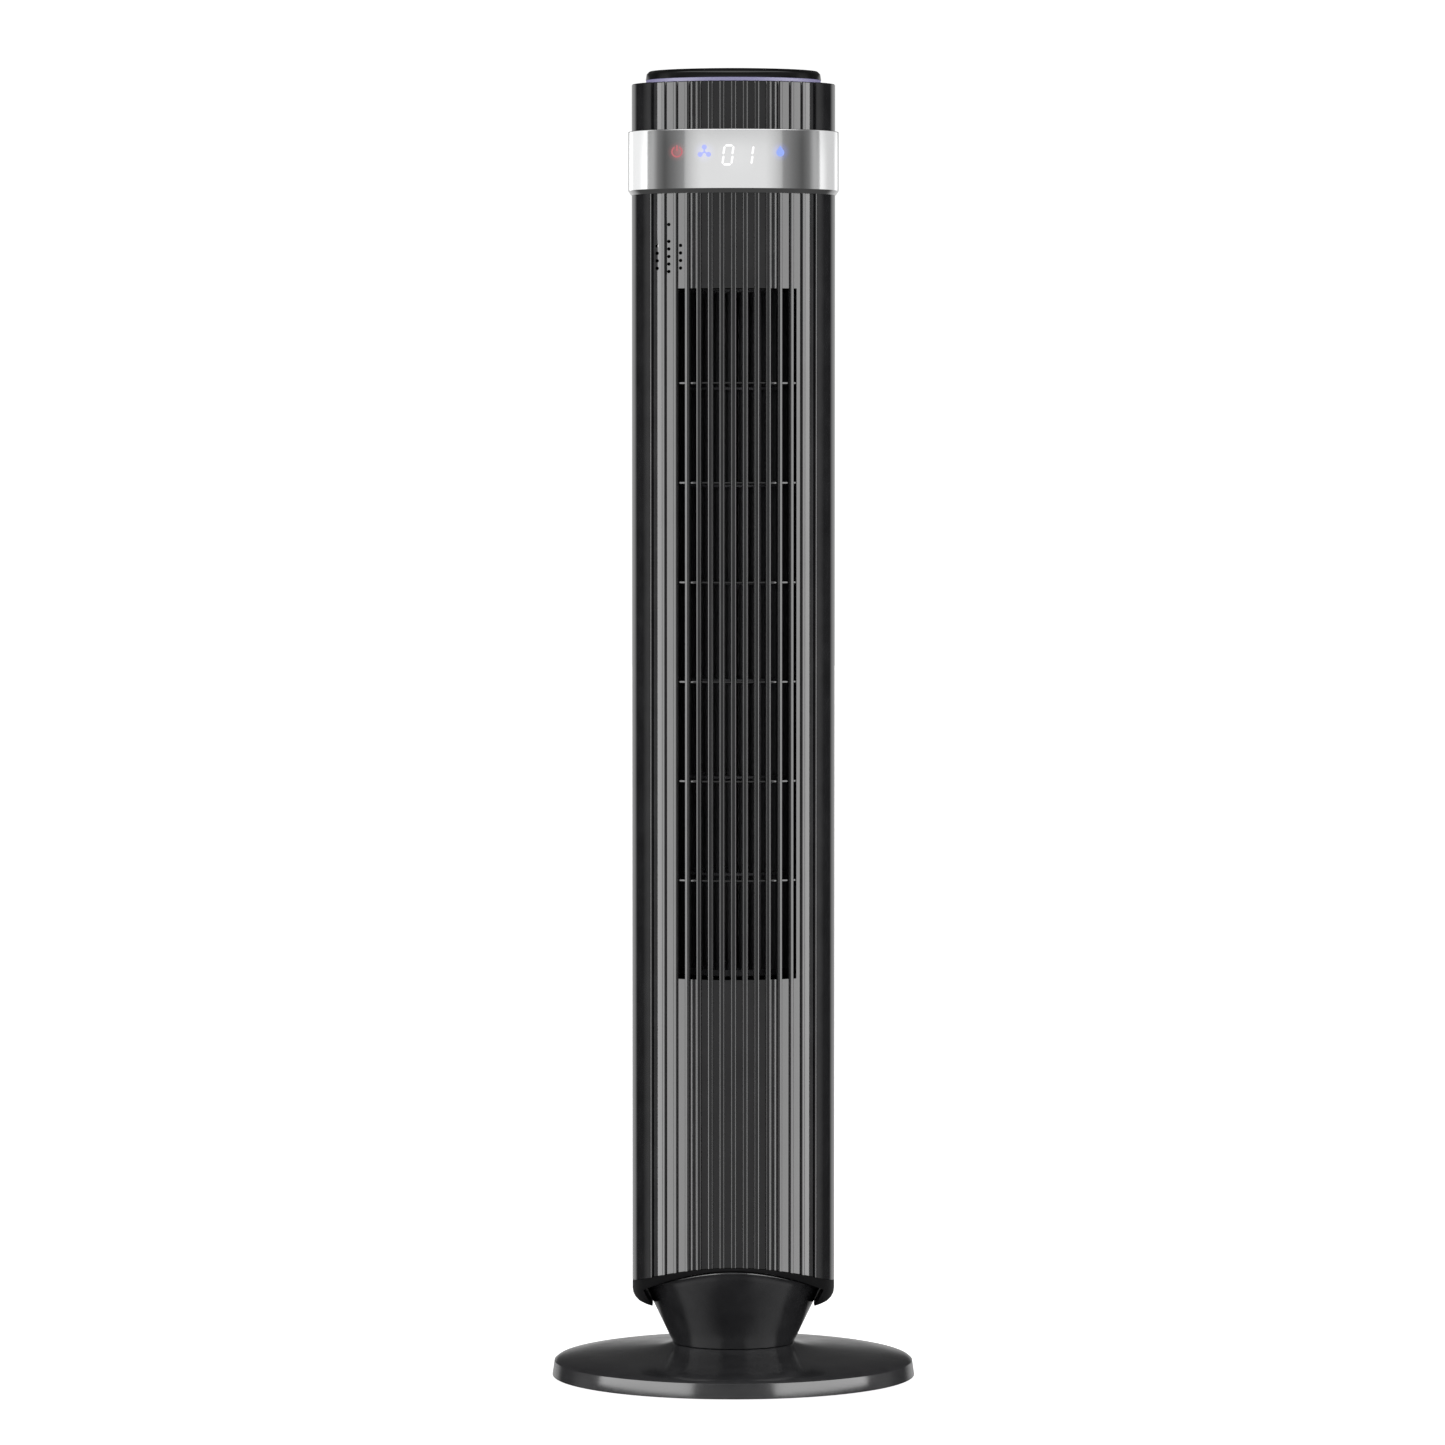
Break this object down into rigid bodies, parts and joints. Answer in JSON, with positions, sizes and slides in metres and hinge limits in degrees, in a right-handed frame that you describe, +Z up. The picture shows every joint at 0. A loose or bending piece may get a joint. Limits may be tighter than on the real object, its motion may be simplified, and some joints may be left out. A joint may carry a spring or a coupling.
{
  "type": "tower fan",
  "caption": "Slim round tower fan: ribbed gloss column with an air outlet, silver touch band and light ring, turning on a flat disc base.",
  "frame": {"origin": "bottom centre of the base, where the feet rest", "axes": "+Z up along the column, front with the air outlet towards -Y, +X to the right seen from the front"},
  "size_m": [0.2966, 0.2966, 1.067],
  "materials": {
    "gloss_black": "gloss",
    "satin_black": "satin",
    "silver_band": "metallised satin",
    "glow": "frosted",
    "clear_guide": "frosted",
    "impeller_plastic": "matte",
    "steel": "zinc plated",
    "ballast_iron": "as cast",
    "rubber": "matte",
    "zinc_screws": "zinc plated",
    "acetal": "smooth",
    "bronze": "sintered",
    "circuit_board": "solder mask",
    "board_parts": "moulded"
  },
  "bodies": {
    "base": {"base_cover": "gloss_black", "base_plate": "steel", "base_ballast": "ballast_iron", "rubber_feet": "rubber", "base_screws": "zinc_screws", "swivel_post": "steel", "post_screws": "zinc_screws", "slide_washer": "acetal", "sun_gear": "acetal", "retaining_nut": "steel", "cord_gland": "satin_black"},
    "column": {"front_shell": "gloss_black", "rear_shell": "gloss_black", "rear_grille": "gloss_black", "handle_cup": "gloss_black", "cap_shell": "gloss_black", "top_lid": "gloss_black", "neck_cone": "gloss_black", "foot_cap": "satin_black", "column_floor": "satin_black", "guide_wall": "satin_black", "stabiliser": "satin_black", "serrated_strip": "satin_black", "lower_partition": "satin_black", "upper_partition": "satin_black", "motor_bracket": "satin_black", "osc_motor_bracket": "satin_black", "control_band": "silver_band", "light_diffuser": "glow", "display_icons": "glow", "light_guide": "clear_guide", "motor_can": "steel", "osc_motor": "steel", "motor_stator": "ballast_iron", "motor_rubbers": "rubber", "bearing_rubber": "rubber", "wiring_harness": "rubber", "shell_screws": "zinc_screws", "motor_screws": "zinc_screws", "osc_motor_screws": "zinc_screws", "swivel_bush": "acetal", "motor_bushes": "bronze", "upper_bush": "bronze", "control_board": "circuit_board", "led_ring_board": "circuit_board", "power_board": "circuit_board", "power_board_parts": "board_parts", "display_leds": "board_parts", "speaker": "board_parts"},
    "impeller": {"impeller_shaft": "steel", "impeller_hub": "impeller_plastic", "impeller_end": "impeller_plastic", "impeller_wheels": "impeller_plastic", "motor_rotor": "ballast_iron"},
    "pinion": {"osc_pinion": "acetal"}
  },
  "joints": [
    {"name": "oscillation", "type": "hinge", "parent": "base", "child": "column", "pos_m": [0, 0, 0.0284], "axis": [0, 0, 1], "range_deg": [-40, 40]},
    {"name": "impeller_spin", "type": "hinge", "parent": "column", "child": "impeller", "pos_m": [0, 0.006, 0.33], "axis": [0, 0, 1], "continuous": true},
    {"name": "pinion_turn", "type": "hinge", "parent": "column", "child": "pinion", "pos_m": [0, 0.0332, 0.046], "axis": [0, 0, 1], "range_deg": [-110, 110]}
  ],
  "couplings": [
    {"joint": "pinion_turn", "follows": "oscillation", "ratio": 2.6667}
  ]
}
